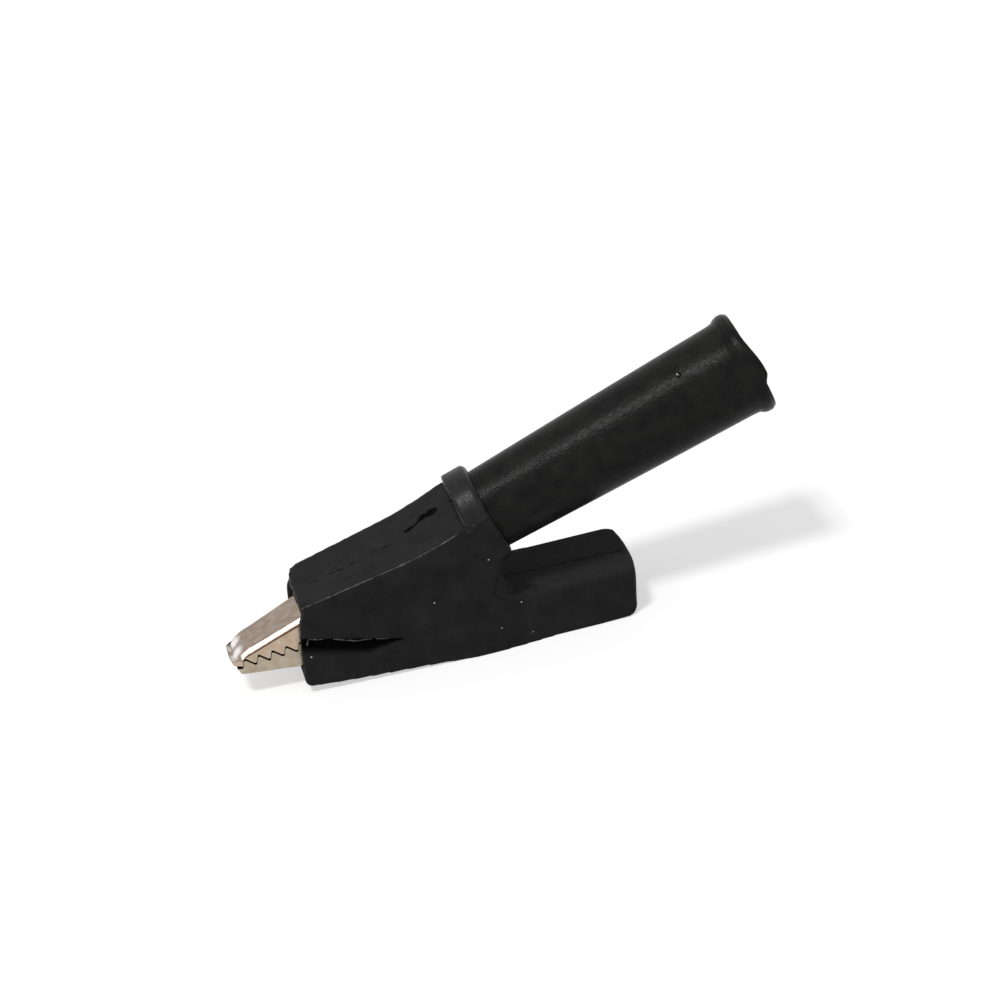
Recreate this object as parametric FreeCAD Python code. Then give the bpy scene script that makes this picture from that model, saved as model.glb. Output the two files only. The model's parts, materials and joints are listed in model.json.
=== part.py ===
import FreeCAD, Part
import math
import os

os.makedirs("parts", exist_ok=True)
Vector = FreeCAD.Vector

# Insulated crocodile clip with a 4 mm socket in its tail, in millimetres.
# X runs from the jaw tip to the socket, Y is across, Z is up, and the flat underside is at Z = 0.

# Pivot
pivot_x = -7.5
pivot_z = 6.0
rivet_radius = 1.1
rivet_clearance = 0.06
rivet_head_radius = 1.9
rivet_head_height = 0.6

# Insulating boot: mouth and back strip
boot_wall = 0.85
strip_rear_wall = 1.2
mouth_x = -22.1
mouth_top_z = 9.54
mouth_half = 4.70
mouth_reach = 3.0
chin_x = -22.95
chin_z = 1.75
chin_low_z = 1.08
chin_radius = 0.8
strip_slope = 13.13
strip_bend_x = -12.0
strip_end_x = -4.54
strip_end_z = 14.49
body_half = 5.85
body_widest_x = -4.5
body_bulge = 0.06

# Boot: underside and thumb lever
keel_x = -12.5
keel_z = 0.38
flat_front_x = -5.6
flat_rear_x = 8.05
lever_half = 5.30
lever_root_x = 3.0
lever_start_x = -0.8
lever_end_x = 12.05
lever_height = 5.08
lever_corner = 1.3
lever_crown = 0.35
edge_radius = 0.5
heel_radius = 1.0
heel_lift = 0.12
heel_lean = 0.45

# Boot: neck behind the pivot, up to the collar
neck_x = -1.8
neck_z = 7.75
neck_hollow = 0.1
nape_x = -0.1
nape_z = 10.6
gusset_x = -2.7
gusset_z = 6.15

# Boot: the slit at each side of the mouth, and the fold behind it
slit_top_z = 6.16
slit_end_x = -12.6
slit_end_z = 3.95
slit_bottom_z = 4.31
slit_floor_z = 3.37
slit_gap = 0.15
lip_recess = 0.5
fold_z_at_pivot = 4.91
fold_slope = 0.19
fold_depth = 2.08
web_gap = 0.05

# Jaws, pressed from nickel-plated strip
sheet = 0.6
tip_x = -29.88
nose_z = 4.56
brow_x = -28.85
brow_z = 6.03
crown_x = -27.3
crown_z = 6.81
jaw_tip_half = 2.48
jaw_mouth_half = 2.85
jaw_ear_half = 3.50
jaw_top_z = 8.52
jaw_rear_z = 11.4
nose_corner = 1.3
nose_undercut = 0.25
nose_lip = 0.15
nose_thick = 1.0
throat_x = -21.0
throat_gap = 0.3
strap_front = -12.0
tail_room = 1.6
ear_front_x = -12.5
ear_rear_x = -5.0
roof_end_x = -8.6
tail_start_x = -3.0
tail_half = 4.1
tail_flange_z = 3.9
jaw_edge_radius = 0.7
lower_tip_x = -29.0
lower_tip_z = 2.86
lower_lip_z = 2.43
lower_edge_radius = 0.4
belly_x = -19.5
belly_rise = 0.75
tail_flange_x = -2.2
tail_end_height = 1.3
tail_end_run = 2.0
tail_widening = 3.0
bite_angle = 5.7
bite_gap = 0.1
tooth_pitch = 1.44
tooth_height = 0.75
tooth_rake = 0.3
tooth_flat = 0.1
tooth_count = 5
first_tooth_x = -28.4
ear_radius = 2.6
ear_gap = 0.15
inner_ear_step = 0.3
ear_shoulder = 0.8
upper_side_depth = 1.8
lower_side_depth = 1.1
shortest_rounded = 0.7
seat_gap = 0.12
press_gap = 0.02

# Closing spring
wire_radius = 0.35
coil_radius = 2.0
coil_turns = 1
coil_pitch = 0.85
upper_leg_angle = 50.0
upper_leg_length = 5.6
lower_leg_angle = -12.0
lower_leg_length = 9.3

# Rear sleeve and the socket inside it, along an axis that climbs towards the rear
sleeve_angle = 18.1
axis_x = 3.52
axis_z = 14.66
sleeve_radius = 4.39
sleeve_taper = 0.0279
sleeve_front = -6.4
sleeve_rear = 25.85
flange_length = 2.1
flange_radius = 5.5
lip_radius = 0.5
mouth_chamfer = 0.3
shroud_bore = 4.05
shroud_depth = 17.0
bulkhead = 3.7
groove_depth = 0.5
groove_width = 0.6
groove_inset = 0.15
collar_front = -7.25
collar_rear = -4.76
collar_radius = 5.22
collar_edge = 0.35
collar_rim = 0.75
socket_bore = 2.03
socket_wall = 0.67
socket_recess = 4.5
socket_floor = 0.2
socket_flange = 0.6
socket_lead = 0.25
tang_radius = 1.95
tang_step = 0.3
tang_under = 1.5
tang_front = -5.4
front_bore = 3.2
strap_half = 2.0
contact_rivet_radius = 0.8
contact_rivet_head = 1.35
contact_rivet_head_height = 0.4
contact_rivet_s = -1.6

# Directions along and across the sleeve's axis
along = Vector(math.cos(math.radians(sleeve_angle)), 0, math.sin(math.radians(sleeve_angle)))
above = Vector(-along.z, 0, along.x)
axis_point = Vector(axis_x, 0, axis_z)
across = Vector(0, 1, 0)
pivot = Vector(pivot_x, 0, pivot_z)
far_up = 40.0


def on_side(point):
    """A point of a side view, given as x and z."""
    return Vector(point[0], 0, point[1])


def on_axis(point):
    """A point of a view along the sleeve, given as distance along its axis and height above it."""
    return axis_point + along * point[0] + above * point[1]


def on_plan(point):
    """A point of the view from above, given as x and y."""
    return Vector(point[0], point[1], -far_up)


def outline(place, start, *steps):
    """Close an outline. A step is a point for a line, or a pair of points for an arc."""
    edges = []
    here = start
    for step in steps + (start,):
        if isinstance(step[0], tuple):
            middle, there = step
            edges.append(Part.Arc(place(here), place(middle), place(there)).toShape())
        else:
            there = step
            if there != here:
                edges.append(Part.makeLine(place(here), place(there)))
        here = there
    return Part.Face(Part.Wire(edges))


def side_slab(half_width, place, start, *steps):
    """Extrude a side outline to the same width on both sides of the middle plane."""
    face = outline(place, start, *steps)
    face.translate(Vector(0, -half_width, 0))
    return face.extrude(Vector(0, 2 * half_width, 0))


def plan_slab(rear, start, *steps):
    """Extrude a plan given by its near side from front to rear. Its end is an arc through rear."""
    near = [start]
    far = []
    for step in steps:
        if isinstance(step[0], tuple):
            far.append(((step[0][0], -step[0][1]), (near[-1][0], -near[-1][1])))
            near.append(step[1])
        else:
            far.append((near[-1][0], -near[-1][1]))
            near.append(step)
    last = (near[-1][0], -near[-1][1])
    across_rear = (rear, last) if rear else last
    face = outline(on_plan, start, *steps, across_rear, *reversed(far))
    return face.extrude(Vector(0, 0, 2 * far_up))


def turned(*profile):
    """Turn a profile, given as distance along the sleeve's axis and radius, about that axis."""
    face = outline(on_axis, *profile)
    return face.revolve(axis_point, along, 360)


def rod(start, direction, radius, length):
    """A plain round rod or hole."""
    return Part.makeCylinder(radius, length, start, direction)


def line_at(x, x0, z0, degrees):
    """Height at x of a line through a point at an angle."""
    return z0 + (x - x0) * math.tan(math.radians(degrees))


def strip_z(x, drop=0.0):
    """Height of the straight part of the boot's back strip, less a drop square to it."""
    top = line_at(x, mouth_x, mouth_top_z, strip_slope)
    return top - drop / math.cos(math.radians(strip_slope))


def bite_z(x):
    """Height of the line on which the teeth meet, which passes through the pivot."""
    return line_at(x, pivot_x, pivot_z, bite_angle)


def sleeve_r(s):
    """Outer radius of the tapered sleeve at a distance along its axis."""
    return sleeve_radius + sleeve_taper * s


def save(shape, node):
    """Write one node."""
    shape.removeSplitter().exportStep("parts/" + node + ".step")


# Boot

def fold_z(x, side):
    """Height of the fold at x: side is 1 for its upper edge and -1 for its lower edge."""
    return fold_z_at_pivot + fold_slope * (x - pivot_x) + side * fold_depth / 2


def slit_edge_z(x, mouth_z, end_z):
    """Height at x of an edge of the slit, which runs straight from the mouth to the slit's end."""
    return mouth_z + (end_z - mouth_z) * (x - mouth_x) / (slit_end_x - mouth_x)


def strip_arc(drop):
    """The bend of the back strip and its end, less a drop: start, middle and end of the arc."""
    rise = strip_end_z - strip_z(strip_bend_x)
    run = strip_end_x - strip_bend_x
    chord = math.atan2(rise, run)
    half_turn = chord - math.radians(strip_slope)
    sag = math.hypot(rise, run) / 2 * math.tan(half_turn / 2)
    middle_x = strip_bend_x + run / 2 + (sag + drop) * math.sin(chord)
    middle_z = strip_z(strip_bend_x) + rise / 2 - (sag + drop) * math.cos(chord)
    end_angle = chord + half_turn
    return (
        (strip_bend_x, strip_z(strip_bend_x, drop)),
        (middle_x, middle_z),
        (strip_end_x + drop * math.sin(end_angle), strip_end_z - drop * math.cos(end_angle)),
    )


def boot_plan(inset):
    """Plan of the boot: widest behind the pivot, and a crowned end with round corners on the lever."""
    corner = lever_corner - inset / 2
    turn = corner * (1 - math.sqrt(0.5))
    side = lever_half - inset
    rear_x = lever_end_x - lever_crown - inset
    middle_x = (body_widest_x + lever_root_x) / 2
    middle_half = (body_half + lever_half) / 2 + body_bulge - inset
    return plan_slab(
        (rear_x + lever_crown, 0),
        (chin_x - boot_wall - 1, -(mouth_half - inset)), (mouth_x, -(mouth_half - inset)),
        (body_widest_x, -(body_half - inset)), ((middle_x, -middle_half), (lever_root_x, -side)),
        (rear_x - corner, -side), ((rear_x - turn, -side + turn), (rear_x, -side + corner)),
    )


def boot_underside(inset):
    """The boot's underside from its chin to the lever's rear end, drawn in by an inset."""
    chin = chin_radius - inset / 2
    heel = heel_radius - inset / 2
    turn = math.sqrt(0.5)
    front_x = chin_x + inset
    rear_x = lever_end_x - inset
    return (
        (front_x, chin_z + inset),
        ((front_x + chin * (1 - turn), chin_z + inset - (chin_z - chin_low_z) * turn),
         (front_x + chin, chin_low_z + inset)),
        (keel_x, keel_z + inset), (flat_front_x, inset), (flat_rear_x, inset),
        (rear_x - heel_lean - heel, heel_lift + inset),
        ((rear_x - heel_lean - heel * (1 - turn), heel_lift + inset + heel * (1 - turn)),
         (rear_x - heel_lean, heel_lift + inset + heel)),
    )


def boot_skin():
    """Outside of the whole boot, solid, with the collar that grips the sleeve."""
    bend, middle, end = strip_arc(0.0)
    under_collar = on_axis((collar_rear, 0.0))
    turn = edge_radius * (1 - math.sqrt(0.5))
    body = side_slab(
        body_half + 1, on_side, *boot_underside(0.0),
        (lever_end_x, lever_height - edge_radius),
        ((lever_end_x - turn, lever_height - turn), (lever_end_x - edge_radius, lever_height)),
        (lever_start_x, lever_height), (gusset_x, gusset_z), (neck_x, neck_z),
        ((neck_x + neck_hollow, (neck_z + nape_z) / 2 + neck_hollow), (nape_x, nape_z)),
        (under_collar.x, under_collar.z), end, (middle, bend), (mouth_x, mouth_top_z),
    )
    collar = turned(
        (collar_front, 0), (collar_front, collar_radius), (collar_rear - collar_edge, collar_radius),
        (collar_rear, collar_radius - collar_edge), (collar_rear, 0),
    )
    return body.common(boot_plan(0.0)).fuse(collar)


def boot_hollow():
    """Space inside the boot: open at the mouth, and narrowing to a trough inside the lever."""
    bend, middle, end = strip_arc(boot_wall)
    front_x = mouth_x - mouth_reach
    roof_z = lever_height - boot_wall
    under_seat = on_axis((collar_front - boot_wall, 0.0))
    underside = boot_underside(boot_wall)
    rear_x, rear_z = underside[6][1]
    shape = side_slab(
        body_half + 1, on_side, (front_x, chin_z + boot_wall / 2), underside[1][1], *underside[2:6],
        (rear_x - boot_wall, roof_z / 2), (rear_x - boot_wall, roof_z),
        (lever_start_x - boot_wall, roof_z), (gusset_x - boot_wall, gusset_z),
        (neck_x - boot_wall, neck_z), (neck_x - boot_wall, (neck_z + nape_z) / 2),
        (under_seat.x, under_seat.z), (end[0] - strip_rear_wall, end[1] - boot_wall), (middle, bend),
        (front_x, strip_z(front_x, boot_wall)),
    )
    return shape.common(boot_plan(boot_wall))


def sleeve_seat():
    """Room for the sleeve's end, its groove and the jaw's strap inside the collar."""
    throat = sleeve_r(sleeve_front) - groove_depth + seat_gap
    groove_end = sleeve_front + 2 * groove_width - groove_inset
    strap_top = tang_step + sheet + seat_gap
    passage = side_slab(
        strap_half + seat_gap, on_axis,
        (collar_front - 3, tang_step - tang_radius), (sleeve_front, tang_step - tang_radius),
        (sleeve_front, strap_top), (collar_front - 3, strap_top),
    )
    seat = turned(
        (sleeve_front - seat_gap, 0),
        (sleeve_front - seat_gap, sleeve_r(sleeve_front) + seat_gap),
        (sleeve_front + groove_width - seat_gap, sleeve_r(sleeve_front) + seat_gap),
        (sleeve_front + groove_width, throat), (groove_end - 2 * seat_gap, throat),
        (groove_end - seat_gap, collar_radius - collar_rim),
        (collar_rear + 1, collar_radius - collar_rim), (collar_rear + 1, 0),
    )
    return seat.fuse(passage)


def upper_region():
    """Everything above the slit's edge and the fold's upper edge, seen from the side."""
    meet_x = fold_meet_x()
    return side_slab(
        far_up, on_side, (-far_up, slit_edge_z(-far_up, slit_top_z, slit_end_z)),
        (meet_x, fold_z(meet_x, 1)), (far_up, fold_z(far_up, 1)), (far_up, far_up), (-far_up, far_up),
    )


def fold_meet_x():
    """Where the fold's upper edge meets the slit's upper edge."""
    slit_slope = (slit_end_z - slit_top_z) / (slit_end_x - mouth_x)
    return (slit_top_z - slit_slope * mouth_x - fold_z(0, 1)) / (fold_slope - slit_slope)


def fold_region():
    """The stretch of wall that folds, from the slit's end back to the neck."""
    meet_x = fold_meet_x()
    return side_slab(
        far_up, on_side, (slit_end_x, fold_z(slit_end_x, -1) + web_gap), (slit_end_x, slit_end_z),
        (meet_x, fold_z(meet_x, 1)), (far_up, fold_z(far_up, 1)), (far_up, fold_z(far_up, -1) + web_gap),
    )


def lower_region():
    """Everything below the slit and the fold, seen from the side."""
    front_x = slit_end_x - web_gap
    return side_slab(
        far_up, on_side, (-far_up, -far_up), (far_up, -far_up), (far_up, fold_z(far_up, -1)),
        (front_x, fold_z(front_x, -1)),
        (front_x, slit_edge_z(front_x, slit_top_z, slit_end_z) - slit_gap),
        (-far_up, slit_edge_z(-far_up, slit_top_z, slit_end_z) - slit_gap),
    )


def lip_bevel():
    """Slanted cut along the lower lip on one side, from the slit down to the slit's lower edge."""
    ends = []
    for x in (mouth_x - mouth_reach, slit_end_x):
        half = mouth_half + (body_half - mouth_half) * (x - mouth_x) / (body_widest_x - mouth_x)
        low = slit_edge_z(x, slit_bottom_z, slit_floor_z)
        high = slit_edge_z(x, slit_top_z, slit_end_z)
        corners = [(half, low), (half - lip_recess, high), (half + 1, high), (half + 1, low)]
        points = [Vector(x, y, z) for y, z in corners]
        ends.append(Part.makePolygon(points + points[:1]))
    return Part.makeLoft(ends, True, True)


def boot_upper(boot):
    """Upper half of the boot with its back strip and the collar."""
    return boot.common(upper_region())


def boot_lower(boot):
    """Lower lip of the boot with the thumb lever, and the bevel that shows as the slit."""
    bevel = lip_bevel()
    far_bevel = bevel.mirror(Vector(0, 0, 0), across)
    return boot.common(lower_region()).cut(bevel).cut(far_bevel)


def boot_web(boot):
    """Soft stretch of the boot's walls between its two halves, which folds as the lever moves."""
    return boot.common(fold_region())


# Jaws

def tooth_line(offset):
    """Points of the row of raked teeth, from the nose back, moved up by an offset."""
    points = []
    for i in range(tooth_count + 1):
        valley = first_tooth_x + (i - tooth_rake) * tooth_pitch
        crest = first_tooth_x + i * tooth_pitch
        for middle, rise in ((valley, -1), (crest, 1)):
            for x in (middle - tooth_flat, middle + tooth_flat):
                points.append((x, bite_z(x) + offset + rise * tooth_height / 2))
    return points


def teeth_space(side):
    """Everything past the teeth: side is -1 below the upper jaw's teeth, and 1 above the lower's."""
    offset = -side * bite_gap / 2
    line = tooth_line(offset)
    rear_x = line[-1][0] + tooth_pitch
    reach = side * far_up
    return side_slab(
        jaw_ear_half + 1, on_side, (tip_x - 1, reach), (tip_x - 1, line[0][1]), *line,
        (rear_x, bite_z(rear_x) - side * tooth_height / 2 + offset),
        (rear_x, bite_z(rear_x) + offset + side),
        (ear_front_x, bite_z(ear_front_x) + offset + side), (ear_front_x, reach),
    )


def jaw_plan(inset, ear_half, tail_width):
    """Plan of a jaw: a blunt rounded nose, widening to the ears, then the tail."""
    nose = tip_x + inset
    corner = nose_corner - inset / 2
    half = jaw_tip_half - inset
    turn = corner * (1 - math.sqrt(0.5))
    return plan_slab(
        None, (nose, -(half - corner)), ((nose + turn, -(half - turn)), (nose + corner, -half)),
        (mouth_x, -(jaw_mouth_half - inset)), (ear_front_x, -(ear_half - inset)),
        (tail_start_x, -(ear_half - inset)),
        (tail_start_x + tail_widening, -(tail_width - inset)),
        (lever_end_x, -(tail_width - inset)),
    )


def rounded(shape, radius, side, depth, limit_z):
    """Round the long edges along a jaw's back: side is 1 for its top and -1 for its bottom."""
    edges = []
    for edge in shape.Edges:
        box = edge.BoundBox
        centre = edge.CenterOfMass
        lengthways = box.XLength > max(box.ZLength, shortest_rounded) and abs(centre.y) > nose_corner
        if lengthways and side * (centre.z - bite_z(centre.x)) > depth and side * (centre.z - limit_z) > 0:
            edges.append(edge)
    return shape.makeFillet(radius, edges)


def upper_back(inset):
    """Side outline of the upper jaw's back, from the bottom of its nose to its rear end."""
    roof = line_at(roof_end_x, mouth_x, jaw_top_z, strip_slope)
    return (
        (tip_x + nose_undercut + inset, bite_z(tip_x) - nose_lip),
        (tip_x + inset, nose_z),
        ((brow_x + inset * 0.8, brow_z - inset * 0.7), (crown_x + inset * 0.3, crown_z - inset)),
        (mouth_x + inset * 0.1, jaw_top_z - inset), (roof_end_x, roof - inset),
    )


def jaw_upper():
    """Fixed jaw: a toothed channel with ears for the rivet and a strap that carries the socket."""
    ear_low = pivot_z - ear_radius
    ear_side = ear_radius * math.sqrt(0.5)
    nose_low_z = bite_z(tip_x) - nose_lip
    skin = side_slab(
        jaw_ear_half + 1, on_side, *upper_back(0.0),
        (ear_rear_x - sheet, jaw_rear_z), (ear_rear_x, pivot_z + sheet),
        ((pivot_x + ear_side, pivot_z - ear_side), (pivot_x, ear_low)),
        (pivot_x - rivet_radius, ear_low), (ear_front_x, bite_z(ear_front_x) + throat_gap),
        (throat_x, bite_z(throat_x) + throat_gap), (throat_x, bite_z(throat_x) - tooth_height),
        (tip_x + nose_thick, bite_z(tip_x + nose_thick) - tooth_height), (tip_x + nose_thick, nose_low_z),
    )
    skin = skin.common(jaw_plan(0.0, jaw_ear_half, jaw_ear_half))
    skin = rounded(skin, jaw_edge_radius, 1, upper_side_depth, nose_z)
    roof_inner = line_at(tail_start_x, mouth_x, jaw_top_z, strip_slope) - sheet
    inside = side_slab(
        jaw_ear_half + 1, on_side, *upper_back(sheet),
        (tail_start_x, roof_inner), (tail_start_x, -1), (tip_x + nose_thick, -1),
    )
    inside = inside.common(jaw_plan(sheet, jaw_ear_half, jaw_ear_half))
    strap_end = contact_rivet_s + strap_half
    strap = side_slab(
        strap_half, on_axis, (strap_front, tang_step), (strap_end, tang_step),
        (strap_end, tang_step + sheet), (strap_front, tang_step + sheet),
    )
    body = skin.cut(inside).cut(teeth_space(-1)).fuse(strap)
    hole = rod(pivot - across * body_half, across, rivet_radius + press_gap, 2 * body_half)
    return body.cut(hole).cut(contact_rivet_hole())


def jaw_lower():
    """Moving jaw: a toothed channel with inner ears on the rivet and a wide tail for the thumb."""
    ear_half = jaw_ear_half - sheet - ear_gap
    ear_top = ear_radius - inner_ear_step
    ear_side = ear_top * math.sqrt(0.5)
    floor_z = boot_wall + 2 * seat_gap
    tail_end_x = lever_end_x - lever_crown - boot_wall - tail_room
    keel = [
        (lower_tip_x, lower_tip_z), (chin_x, lower_lip_z), (belly_x, keel_z + floor_z + belly_rise),
        (keel_x, keel_z + floor_z), (flat_front_x, floor_z),
    ]
    skin = side_slab(
        body_half, on_side, *keel, (tail_end_x, floor_z),
        (tail_end_x, floor_z + tail_end_height), (tail_end_x - tail_end_run, tail_flange_z),
        (tail_flange_x, tail_flange_z), (pivot_x + ear_top, pivot_z),
        ((pivot_x + ear_side, pivot_z + ear_side), (pivot_x, pivot_z + ear_top)),
        ((pivot_x - ear_side, pivot_z + ear_side), (pivot_x - ear_top, pivot_z)),
        (ear_front_x - ear_shoulder, bite_z(ear_front_x) - 2 * throat_gap),
        (throat_x, bite_z(throat_x) - throat_gap),
        (throat_x, bite_z(throat_x) + tooth_height),
        (tip_x + nose_thick, bite_z(tip_x + nose_thick) + tooth_height),
        (tip_x + nose_thick, bite_z(tip_x) - nose_lip),
        (tip_x + nose_thick / 2, bite_z(tip_x) - nose_undercut),
    )
    skin = skin.common(jaw_plan(0.0, ear_half, tail_half))
    skin = rounded(skin, lower_edge_radius, -1, lower_side_depth, lower_tip_z)
    floor = [(keel[0][0] + sheet / 2, keel[0][1] + sheet)] + [(x, z + sheet) for x, z in keel[1:]]
    inside = side_slab(
        body_half, on_side, *floor, (lever_end_x, floor_z + sheet),
        (lever_end_x, far_up), (floor[0][0], far_up),
    )
    inside = inside.common(jaw_plan(sheet, ear_half, tail_half))
    hole = rod(pivot - across * body_half, across, rivet_radius + rivet_clearance, 2 * body_half)
    return skin.cut(inside).cut(teeth_space(1)).cut(hole)


def contact_rivet_hole():
    """Hole through the strap and the tang for their rivet."""
    start = on_axis((contact_rivet_s, -front_bore))
    return rod(start, above, contact_rivet_radius + press_gap, 2 * front_bore)


def rivet(place, centre, direction, radius, head, height, low, high):
    """A rivet with a cone head below low and another above high along its direction."""
    flat = head - height
    face = outline(
        place, (0, low - height), (flat, low - height), (head, low), (radius, low),
        (radius, high), (head, high), (flat, high + height), (0, high + height),
    )
    return face.revolve(centre, direction, 360)


def pivot_rivet():
    """Round-headed rivet through all four ears."""
    seat = jaw_ear_half + press_gap

    def on_rivet(point):
        return pivot + Vector(point[0], point[1], 0)

    return rivet(
        on_rivet, pivot, across, rivet_radius, rivet_head_radius, rivet_head_height, -seat, seat,
    )


def coil_point(angle, start, width, sweep):
    """A point on the spring's centre line, at an angle turned from its upper leg."""
    here = start + angle
    y = width / 2 - width * angle / sweep
    return pivot + Vector(coil_radius * math.cos(here), y, coil_radius * math.sin(here))


def jaw_spring():
    """Torsion spring round the rivet: one leg under the strap, the other on the lever's tail."""
    upper_leg = math.radians(upper_leg_angle)
    lower_leg = math.radians(lower_leg_angle)
    start = upper_leg + math.pi / 2
    sweep = (lower_leg - math.pi / 2 - start) % (2 * math.pi) + 2 * math.pi * coil_turns
    width = coil_pitch * sweep / (2 * math.pi)
    count = math.ceil(sweep / (math.pi / 2))
    points = [coil_point(sweep * i / 2 / count, start, width, sweep) for i in range(2 * count + 1)]
    up = Vector(math.cos(upper_leg), 0, math.sin(upper_leg))
    down = Vector(math.cos(lower_leg), 0, math.sin(lower_leg))
    upper_end = points[0] + up * upper_leg_length
    lower_end = points[-1] + down * lower_leg_length
    path = [Part.makeLine(upper_end, points[0])]
    path += [Part.Arc(*points[2 * i:2 * i + 3]).toShape() for i in range(count)]
    path += [Part.makeLine(points[-1], lower_end)]
    ring = Part.Wire([Part.makeCircle(wire_radius, upper_end, up)])
    return Part.Wire(path).makePipeShell([ring], True, False)


# Socket

def socket_sleeve():
    """Rigid tapered sleeve: flange at the mouth, shroud bore behind a bulkhead, groove in front."""
    shroud_floor = sleeve_rear - shroud_depth
    bulkhead_front = shroud_floor - bulkhead
    bore = socket_bore + socket_wall + press_gap
    front = sleeve_r(sleeve_front)
    flare = sleeve_rear - flange_length
    rise = flange_radius - sleeve_r(flare)
    groove = sleeve_front + groove_width - groove_inset
    return turned(
        (sleeve_front, front_bore), (sleeve_front, front), (groove, front),
        (groove, front - groove_depth), (groove + groove_width, front - groove_depth),
        (groove + groove_width, sleeve_r(groove + groove_width)),
        (flare, sleeve_r(flare)), (flare + flange_length * 0.4, sleeve_r(flare) + rise * 0.75),
        (flare + flange_length * 0.6, flange_radius), (sleeve_rear - lip_radius, flange_radius),
        (sleeve_rear, flange_radius - lip_radius),
        (sleeve_rear, shroud_bore + mouth_chamfer), (sleeve_rear - mouth_chamfer, shroud_bore),
        (shroud_floor, shroud_bore), (shroud_floor, bore), (bulkhead_front, bore),
        (bulkhead_front, front_bore),
    )


def socket_contact():
    """Turned socket for a 4 mm plug, with a shoulder, and a flat tang for its rivet."""
    shoulder = sleeve_rear - shroud_depth - bulkhead
    mouth = sleeve_rear - socket_recess
    barrel = socket_bore + socket_wall
    bore_end = shoulder + socket_floor
    body = turned(
        (tang_front, 0), (tang_front, tang_radius),
        (shoulder - socket_flange, tang_radius), (shoulder - socket_flange, front_bore - seat_gap),
        (shoulder, front_bore - seat_gap), (shoulder, barrel), (mouth, barrel),
        (mouth, socket_bore + socket_lead), (mouth - socket_lead, socket_bore),
        (bore_end, socket_bore), (bore_end - socket_bore / 2, 0),
    )
    flat_top = side_slab(
        front_bore, on_axis, (tang_front - 1, tang_step), (shoulder - socket_flange, tang_step),
        (shoulder - socket_flange, front_bore), (tang_front - 1, front_bore),
    )
    flat_end = shoulder - socket_flange - tang_radius
    flat_under = side_slab(
        front_bore, on_axis, (tang_front - 1, -tang_under), (flat_end, -tang_under),
        (flat_end, -front_bore), (tang_front - 1, -front_bore),
    )
    return body.cut(flat_top).cut(flat_under).cut(contact_rivet_hole())


def contact_rivet():
    """Rivet that clamps the socket's tang to the strap."""
    def on_rivet(point):
        return on_axis((contact_rivet_s + point[0], point[1]))

    return rivet(
        on_rivet, on_axis((contact_rivet_s, 0)), above, contact_rivet_radius, contact_rivet_head,
        contact_rivet_head_height, -tang_under, tang_step + sheet,
    )


boot = boot_skin().cut(boot_hollow()).cut(sleeve_seat())
save(boot_upper(boot), "boot_upper")
save(boot_lower(boot), "boot_lower")
save(boot_web(boot), "boot_web")
save(jaw_upper(), "jaw_upper")
save(jaw_lower(), "jaw_lower")
save(pivot_rivet(), "pivot_rivet")
save(jaw_spring(), "jaw_spring")
save(socket_sleeve(), "socket_sleeve")
save(socket_contact(), "socket_contact")
save(contact_rivet(), "contact_rivet")
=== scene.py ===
import json
import math

import bmesh
import bpy
from mathutils import Matrix, Vector, noise
from mathutils.bvhtree import BVHTree


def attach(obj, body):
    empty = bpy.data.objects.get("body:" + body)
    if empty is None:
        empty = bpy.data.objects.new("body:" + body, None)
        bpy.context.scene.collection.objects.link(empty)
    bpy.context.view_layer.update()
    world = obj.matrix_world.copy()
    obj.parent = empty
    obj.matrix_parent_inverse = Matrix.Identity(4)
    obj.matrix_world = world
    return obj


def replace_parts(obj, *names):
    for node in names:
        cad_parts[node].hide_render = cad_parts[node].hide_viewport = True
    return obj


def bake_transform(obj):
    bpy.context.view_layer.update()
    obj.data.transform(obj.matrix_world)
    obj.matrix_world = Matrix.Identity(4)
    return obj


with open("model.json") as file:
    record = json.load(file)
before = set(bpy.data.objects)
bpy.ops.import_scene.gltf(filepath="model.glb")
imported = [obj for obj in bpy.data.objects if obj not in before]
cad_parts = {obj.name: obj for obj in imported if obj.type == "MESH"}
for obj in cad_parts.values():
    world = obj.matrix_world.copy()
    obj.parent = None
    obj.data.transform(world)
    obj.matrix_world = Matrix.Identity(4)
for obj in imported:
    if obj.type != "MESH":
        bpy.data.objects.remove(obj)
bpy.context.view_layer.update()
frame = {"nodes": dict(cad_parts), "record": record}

scene = bpy.context.scene
nodes = frame["nodes"]

# Lengths and places are in mm, in the part's own frame, where they aren't multiplied by MM
MM = 0.001
weld = 0.002 * MM

# Camera: where the photograph was taken from
camera_azimuth = -7.515
camera_elevation = 26.65
camera_roll = -10.22
camera_distance = 328.5 * MM
camera_target = Vector((0.38, 0.0, 13.85)) * MM
camera_lens = 116.64
camera_sensor = 36.0
camera_range = (10 * MM, 20000 * MM)

# Studio: one soft lamp from the upper left, far enough to light the floor evenly
lamp_towards = Vector((-0.30, -0.29, 0.905))
lamp_power = 1.95
lamp_softness = 11.0
sky_level = 0.43
floor_half = 2500 * MM
paper_lit = "f0f0f0"
paper_shown = "bababa"
paper_glow = 0.56

# Boot: one soft moulding, made in three meshes: the upper rides the clip's body, the lower the
# lever, and the fold between them rides neither
pivot = Vector((-7.5, 0, 6.0))
boot_voxel = 0.13 * MM
boot_softening = 6
sharp_crease = 50
fold_slope = 0.19
fold_top_z = 5.95
fold_depth = 2.08
fold_front_x = -12.6
fold_normal = Vector((-fold_slope, 0, 1)).normalized()
web_growth = 0.08
slit_mouth = (-22.1, 6.16)
slit_slope = -0.2326
slit_normal = Vector((-slit_slope, 0, 1)).normalized()
slit_gap = 0.15
slit_overlap = 0.02
slit_cut = 0.2
cut_tolerance = 0.003
boot_skins = (
    ("boot_upper_skin", "clip_body"), ("boot_lower_skin", "lever"), ("boot_fold_skin", None),
)
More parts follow.
